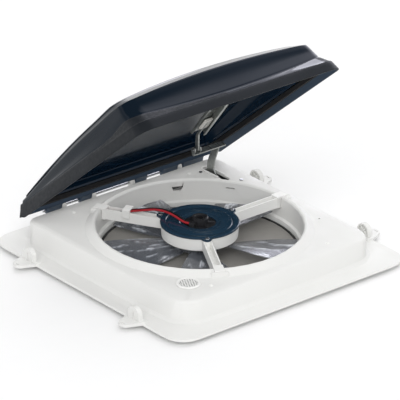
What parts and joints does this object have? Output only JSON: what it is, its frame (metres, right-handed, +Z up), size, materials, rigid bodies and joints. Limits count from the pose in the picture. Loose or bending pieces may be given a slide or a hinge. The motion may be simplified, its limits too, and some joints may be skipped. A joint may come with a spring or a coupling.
{
  "type": "roof exhaust fan",
  "caption": "Square white roof vent with a hinged smoked lid on a worm-driven lift arm over a motor-driven fan in a round throat.",
  "frame": {"origin": "middle of the mounting flange's underside", "axes": "+Z up out of the roof, X along the lid's hinge, +Y towards the hinge"},
  "size_m": [0.496, 0.444, 0.306],
  "materials": {
    "white_plastic": "fine textured white moulding",
    "white_trim": "smooth white moulding",
    "smoked_lid": "glossy smoked acrylic, matte along the rim band",
    "fan_plastic": "clear smoked plastic",
    "navy_cover": "glossy navy black",
    "black_plastic": "black moulding",
    "foam": "closed-cell foam",
    "zinc_steel": "galvanised sheet",
    "bright_steel": "bright zinc plated",
    "brass": "machined brass",
    "red_wire": "red insulation",
    "black_wire": "black insulation",
    "screen": "woven black screen",
    "nylon": "natural nylon"
  },
  "bodies": {
    "base": {"base_housing": "white_plastic", "sensor_grille": "white_trim", "arm_slot_bezel": "white_trim", "deck_screw_1": "bright_steel", "deck_screw_2": "bright_steel", "deck_screw_3": "bright_steel", "deck_screw_4": "bright_steel", "motor_bracket": "white_trim", "foot_screw_1": "bright_steel", "foot_screw_2": "bright_steel", "foot_screw_3": "bright_steel", "motor_cover": "navy_cover", "cover_screw_1": "bright_steel", "cover_screw_2": "bright_steel", "cover_screw_3": "bright_steel", "brush_cap": "black_plastic", "motor_can": "zinc_steel", "lower_bearing": "bright_steel", "upper_bearing": "bright_steel", "screen_frame": "black_plastic", "insect_screen": "screen", "wire_clip": "white_trim", "motor_lead_red": "red_wire", "motor_lead_black": "black_wire", "hinge_rod": "bright_steel", "gearbox_housing": "black_plastic", "gearbox_cover": "black_plastic", "gearbox_screw_1": "bright_steel", "gearbox_screw_2": "bright_steel"},
    "lid": {"lid_dome": "smoked_lid", "lid_seal": "foam", "lift_rail": "zinc_steel", "rail_screw_1": "bright_steel", "rail_screw_2": "bright_steel"},
    "arm": {"lift_arm": "zinc_steel", "arm_shaft": "bright_steel", "worm_wheel": "brass", "clevis_pin": "bright_steel"},
    "slide": {"slide_strap": "zinc_steel", "rail_slider": "nylon"},
    "crank": {"lift_worm": "bright_steel", "lift_knob": "black_plastic"},
    "rotor": {"fan_rotor": "fan_plastic", "fan_nut": "bright_steel", "motor_shaft": "bright_steel"}
  },
  "joints": [
    {"name": "lid_hinge", "type": "hinge", "parent": "base", "child": "lid", "pos_m": [0, 0.197, 0.033], "axis": [-1, 0, 0], "range_deg": [-40.3, 4.7]},
    {"name": "arm_pivot", "type": "hinge", "parent": "base", "child": "arm", "pos_m": [0.143, 0.117, 0.02], "axis": [-1, 0, 0], "range_deg": [-70.62, 8.32]},
    {"name": "clevis_pivot", "type": "hinge", "parent": "arm", "child": "slide", "pos_m": [0.0865, 0.112, 0.101], "axis": [-1, 0, 0], "range_deg": [-3.62, 30.32]},
    {"name": "crank_turn", "type": "hinge", "parent": "base", "child": "crank", "pos_m": [0.156, 0.1328, 0.018], "axis": [0, 0, 1], "range_deg": [-1129.4, 132.6]},
    {"name": "fan_spin", "type": "hinge", "parent": "base", "child": "rotor", "pos_m": [0, 0, 0.014], "axis": [0, 0, 1], "continuous": true}
  ],
  "couplings": [
    {"joint": "arm_pivot", "follows": "lid_hinge", "ratio": 1.75},
    {"joint": "clevis_pivot", "follows": "lid_hinge", "ratio": -0.75},
    {"joint": "crank_turn", "follows": "lid_hinge", "ratio": 28}
  ]
}
